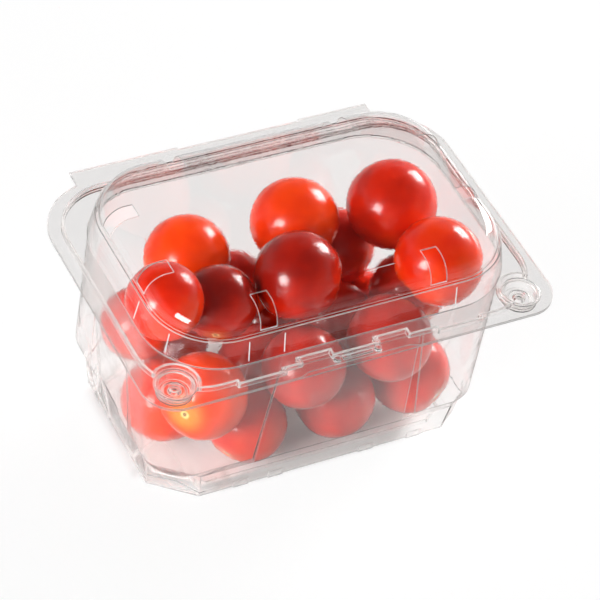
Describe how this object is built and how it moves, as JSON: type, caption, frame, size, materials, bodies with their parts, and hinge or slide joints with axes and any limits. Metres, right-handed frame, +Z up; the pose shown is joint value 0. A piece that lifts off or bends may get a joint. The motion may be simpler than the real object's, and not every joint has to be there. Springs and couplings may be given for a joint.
{
  "type": "plastic clamshell pack",
  "caption": "Clear hinged punnet with a domed, vented lid, snap buttons and a finger latch, filled with cherry tomatoes",
  "frame": {"origin": "Middle of the closed pack's footprint, on the surface that it stands on", "axes": "+X along the pack's length, to the right seen from the latch side; +Y from the latch to the hinge; +Z up"},
  "size_m": [0.155, 0.1156, 0.094],
  "materials": {
    "clear_film": "clear thermoformed sheet, glossy",
    "tomato_skin": "smooth ripe skin, glossy"
  },
  "bodies": {
    "tub": {"tub": "clear_film", "tomato_01": "tomato_skin", "tomato_02": "tomato_skin", "tomato_03": "tomato_skin", "tomato_04": "tomato_skin", "tomato_05": "tomato_skin", "tomato_06": "tomato_skin", "tomato_07": "tomato_skin", "tomato_08": "tomato_skin", "tomato_09": "tomato_skin", "tomato_10": "tomato_skin", "tomato_11": "tomato_skin", "tomato_12": "tomato_skin", "tomato_13": "tomato_skin", "tomato_14": "tomato_skin", "tomato_15": "tomato_skin", "tomato_16": "tomato_skin", "tomato_17": "tomato_skin", "tomato_18": "tomato_skin", "tomato_19": "tomato_skin", "tomato_20": "tomato_skin", "tomato_21": "tomato_skin", "tomato_22": "tomato_skin", "tomato_23": "tomato_skin"},
    "lid": {"lid": "clear_film"}
  },
  "joints": [
    {"name": "lid_hinge", "type": "hinge", "parent": "tub", "child": "lid", "pos_m": [0, 0.0578, 0.07315], "axis": [-1, 0, 0], "range_deg": [0, 180]}
  ]
}
